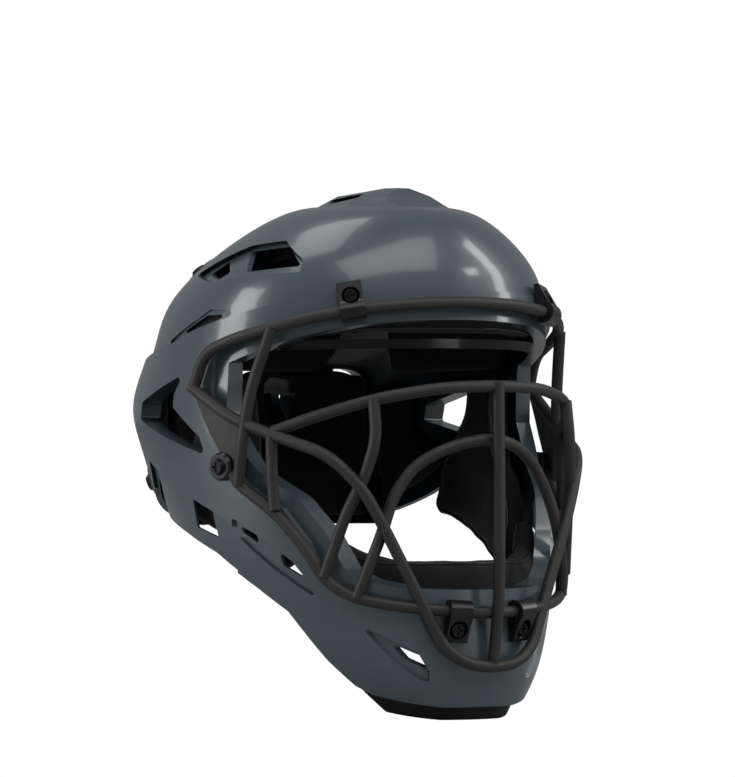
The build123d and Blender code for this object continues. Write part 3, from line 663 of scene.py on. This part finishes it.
class HELMET_OT_cage(bpy.types.Operator):
    """Finish the wires and side plates of the face cage"""
    bl_idname = "helmet.cage"
    bl_label = "Face cage"

    def execute(self, context):
        settings = context.scene.helmet_cage
        coat = dip_coated_steel("plastisol_dipped_steel", settings.colour)
        finish_rigid(WIRES, coat)
        finish_rigid(SIDE_PLATES, coat, settings.plate_edge)
        return {"FINISHED"}


class HELMET_OT_clips(bpy.types.Operator):
    """Finish the clips, screws, nuts, keepers and studs"""
    bl_idname = "helmet.clips"
    bl_label = "Clips and screws"

    def execute(self, context):
        settings = context.scene.helmet_clips
        nylon = moulded_nylon("polished_moulded_nylon", settings.colour, roughness=0.3, shine=0.35)
        oxide = plated_steel("black_oxide_steel", settings.screw_colour, roughness=0.35)
        zinc = plated_steel("zinc_plated_steel", settings.nut_colour, roughness=0.3)
        finish_rigid(CLIPS + KEEPERS, nylon, settings.edge)
        finish_rigid(["cage_screws", "strap_studs", "plate_studs"], oxide, settings.screw_edge)
        finish_rigid(["cage_nuts"], zinc)
        return {"FINISHED"}


class HELMET_OT_trim(bpy.types.Operator):
    """Finish the brow strip and the chin trim"""
    bl_idname = "helmet.trim"
    bl_label = "Edge trim"

    def execute(self, context):
        settings = context.scene.helmet_trim
        rubber = edge_rubber("moulded_edge_rubber", settings.rubber)
        # The brow strip is nylon like the clips, from a duller mould: satin, with soft highlights
        liner = moulded_nylon("satin_liner_edge", settings.liner, roughness=0.35, shine=0.2)
        finish_rigid(["chin_trim"], rubber, settings.rubber_edge, segments=3)
        finish_rigid(["brow_strip"], liner, settings.liner_edge, segments=3)
        return {"FINISHED"}


class HELMET_OT_pads(bpy.types.Operator):
    """Make the foam pads in their mesh covers"""
    bl_idname = "helmet.pads"
    bl_label = "Pads"

    def execute(self, context):
        settings = context.scene.helmet_pads
        cover = spacer_mesh("knitted_spacer_mesh", settings.inner, settings.cover)
        # The seams are bound in smooth nylon tape: it catches a thin line of light along each cord
        cord = moulded_nylon("bound_seam_cord", settings.seam, roughness=0.5, shine=0.4)
        for node in FRONT_PADS + INNER_PADS:
            cuff = (settings.cuff_below, 0.0) if node == "occipital_pad" else (0.0, 0.0)
            pad = cushion(node, node + "_cover", cover, settings.cell, settings.swell, "helmet", cuff)
            if node in FRONT_PADS:
                piping(node, node + "_piping", cord, pad, settings.cord, "helmet", node == "chin_pad")
        for node in BACK_PADS:
            cushion(node, node + "_cover", cover, settings.cell * BACK_PAD_CELL, settings.swell, "back_plate",
                    (0.0, settings.cuff_above))
        return {"FINISHED"}


class HELMET_OT_straps(bpy.types.Operator):
    """Make the elastic straps between shell and back plate"""
    bl_idname = "helmet.straps"
    bl_label = "Elastic straps"

    def execute(self, context):
        webbing = woven_elastic("woven_elastic_webbing", context.scene.helmet_trim.webbing)
        for side in SIDES:
            strap_piece("upper_strap_" + side, "upper_webbing_" + side, webbing)
            strap_piece("lower_strap_" + side, "lower_webbing_" + side, webbing)
        return {"FINISHED"}


class HELMET_PT_sidebar(bpy.types.Panel):
    """Lists the helmet's settings and pieces"""
    bl_idname = "HELMET_PT_sidebar"
    bl_label = "Catcher helmet"
    bl_space_type = "VIEW_3D"
    bl_region_type = "UI"
    bl_category = "Helmet"

    def draw(self, context):
        for group in GROUPS:
            settings = getattr(context.scene, group)
            for name in settings.__annotations__:
                self.layout.prop(settings, name)
        for operator in OPERATORS:
            self.layout.operator(operator.bl_idname)


OPERATORS = (HELMET_OT_stage, HELMET_OT_shell, HELMET_OT_cage, HELMET_OT_clips, HELMET_OT_trim,
             HELMET_OT_pads, HELMET_OT_straps)
GROUPS = {"helmet_stage": StageSettings, "helmet_shell": ShellSettings, "helmet_cage": CageSettings,
          "helmet_clips": ClipSettings, "helmet_trim": TrimSettings, "helmet_pads": PadSettings}


def register():
    for name, group in GROUPS.items():
        bpy.utils.register_class(group)
        setattr(bpy.types.Scene, name, bpy.props.PointerProperty(type=group))
    for operator in OPERATORS:
        bpy.utils.register_class(operator)
    bpy.utils.register_class(HELMET_PT_sidebar)


def unregister():
    bpy.utils.unregister_class(HELMET_PT_sidebar)
    for operator in reversed(OPERATORS):
        bpy.utils.unregister_class(operator)
    for name, group in reversed(GROUPS.items()):
        delattr(bpy.types.Scene, name)
        bpy.utils.unregister_class(group)


def main():
    register()
    for operator in (bpy.ops.helmet.stage, bpy.ops.helmet.shell, bpy.ops.helmet.cage, bpy.ops.helmet.clips,
                     bpy.ops.helmet.trim, bpy.ops.helmet.pads, bpy.ops.helmet.straps):
        operator()


if __name__ == "__main__":
    main()
